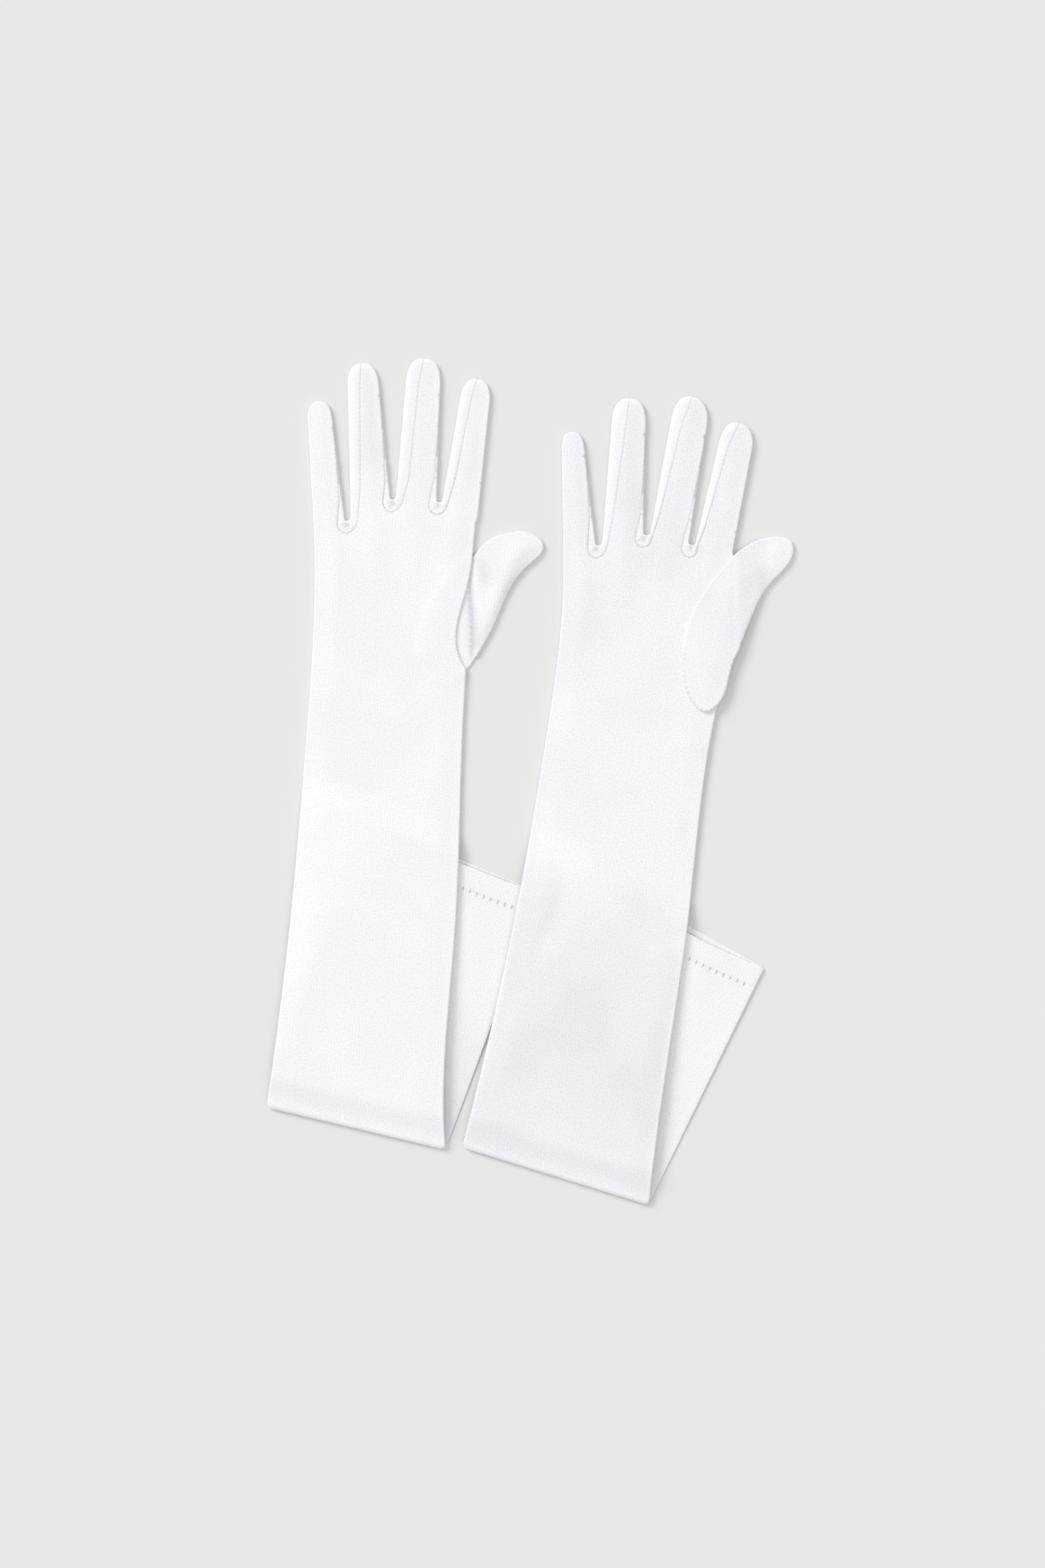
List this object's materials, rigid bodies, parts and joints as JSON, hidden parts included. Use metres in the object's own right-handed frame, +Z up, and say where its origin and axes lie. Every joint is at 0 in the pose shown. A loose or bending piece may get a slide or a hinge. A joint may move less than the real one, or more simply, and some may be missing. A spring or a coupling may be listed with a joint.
{
  "type": "opera gloves",
  "caption": "Pair of long satin evening gloves lying flat with their cuff ends folded under, one palm down and one palm up",
  "frame": {"origin": "centre of the pair's box, on the table that it lies on", "axes": "+X to the right across both gloves, +Y towards the fingertips, +Z up from the table"},
  "size_m": [0.2885, 0.4637, 0.0106],
  "materials": {
    "satin": "white stretch satin with a soft sheen",
    "side_strip_satin": "the same satin, cut across the grain, a touch duller",
    "thread": "white polyester sewing thread"
  },
  "bodies": {
    "left_cuff_section": {"left_cuff": "satin", "left_hem_stitches": "thread"},
    "left_hand_section": {"left_hand": "satin", "left_thumb_base": "satin"},
    "left_pinky_section": {"left_pinky": "satin", "left_pinky_strip_by_ring": "side_strip_satin"},
    "left_ring_section": {"left_ring": "satin", "left_ring_strip_by_pinky": "side_strip_satin", "left_ring_strip_by_middle": "side_strip_satin"},
    "left_middle_section": {"left_middle": "satin", "left_middle_strip_by_ring": "side_strip_satin", "left_middle_strip_by_index": "side_strip_satin"},
    "left_index_section": {"left_index": "satin", "left_index_strip_by_middle": "side_strip_satin"},
    "left_thumb_section": {"left_thumb": "satin"},
    "right_cuff_section": {"right_cuff": "satin", "right_hem_stitches": "thread"},
    "right_hand_section": {"right_hand": "satin", "right_thumb_base": "satin"},
    "right_pinky_section": {"right_pinky": "satin", "right_pinky_strip_by_ring": "side_strip_satin"},
    "right_ring_section": {"right_ring": "satin", "right_ring_strip_by_pinky": "side_strip_satin", "right_ring_strip_by_middle": "side_strip_satin"},
    "right_middle_section": {"right_middle": "satin", "right_middle_strip_by_ring": "side_strip_satin", "right_middle_strip_by_index": "side_strip_satin"},
    "right_index_section": {"right_index": "satin", "right_index_strip_by_middle": "side_strip_satin"},
    "right_thumb_section": {"right_thumb": "satin"}
  },
  "joints": [
    {"name": "left_arm_fold", "type": "hinge", "parent": "left_cuff_section", "child": "left_hand_section", "pos_m": [-0.09535, -0.19, 0.00385], "axis": [0.9732, -0.2301, 0], "range_deg": [0, 180]},
    {"name": "left_pinky_bend", "type": "hinge", "parent": "left_hand_section", "child": "left_pinky_section", "pos_m": [-0.11107, 0.1531, 0.003], "axis": [0.9961, 0.0884, 0], "range_deg": [0, 90]},
    {"name": "left_ring_bend", "type": "hinge", "parent": "left_hand_section", "child": "left_ring_section", "pos_m": [-0.08815, 0.16373, 0.003], "axis": [0.9981, 0.0616, 0], "range_deg": [0, 90]},
    {"name": "left_middle_bend", "type": "hinge", "parent": "left_hand_section", "child": "left_middle_section", "pos_m": [-0.06168, 0.16653, 0.003], "axis": [0.9983, -0.0591, 0], "range_deg": [0, 90]},
    {"name": "left_index_bend", "type": "hinge", "parent": "left_hand_section", "child": "left_index_section", "pos_m": [-0.03633, 0.16523, 0.003], "axis": [0.9905, -0.1377, 0], "range_deg": [0, 90]},
    {"name": "left_thumb_fold", "type": "hinge", "parent": "left_hand_section", "child": "left_thumb_section", "pos_m": [-0.03015, 0.096, 0.0026], "axis": [0, -1, 0], "range_deg": [0, 150]},
    {"name": "right_arm_fold", "type": "hinge", "parent": "right_cuff_section", "child": "right_hand_section", "pos_m": [0.0137, -0.2162, 0.00385], "axis": [0.9554, -0.2954, 0], "range_deg": [0, 180]},
    {"name": "right_pinky_bend", "type": "hinge", "parent": "right_hand_section", "child": "right_pinky_section", "pos_m": [0.02599, 0.14372, 0.003], "axis": [0.9978, 0.0663, 0], "range_deg": [0, 90]},
    {"name": "right_ring_bend", "type": "hinge", "parent": "right_hand_section", "child": "right_ring_section", "pos_m": [0.05141, 0.14633, 0.003], "axis": [0.9987, -0.05, 0], "range_deg": [0, 90]},
    {"name": "right_middle_bend", "type": "hinge", "parent": "right_hand_section", "child": "right_middle_section", "pos_m": [0.07823, 0.14518, 0.003], "axis": [0.9859, -0.1675, 0], "range_deg": [0, 90]},
    {"name": "right_index_bend", "type": "hinge", "parent": "right_hand_section", "child": "right_index_section", "pos_m": [0.10292, 0.13889, 0.003], "axis": [0.9783, -0.2074, 0], "range_deg": [0, 90]},
    {"name": "right_thumb_fold", "type": "hinge", "parent": "right_hand_section", "child": "right_thumb_section", "pos_m": [0.11355, 0.098, 0.005], "axis": [0, -1, 0], "range_deg": [0, 150]},
    {"name": "right_glove_lift", "type": "slide", "parent": "left_cuff_section", "child": "right_cuff_section", "axis": [0, 0, 1], "range_m": [0, 0.15]}
  ]
}
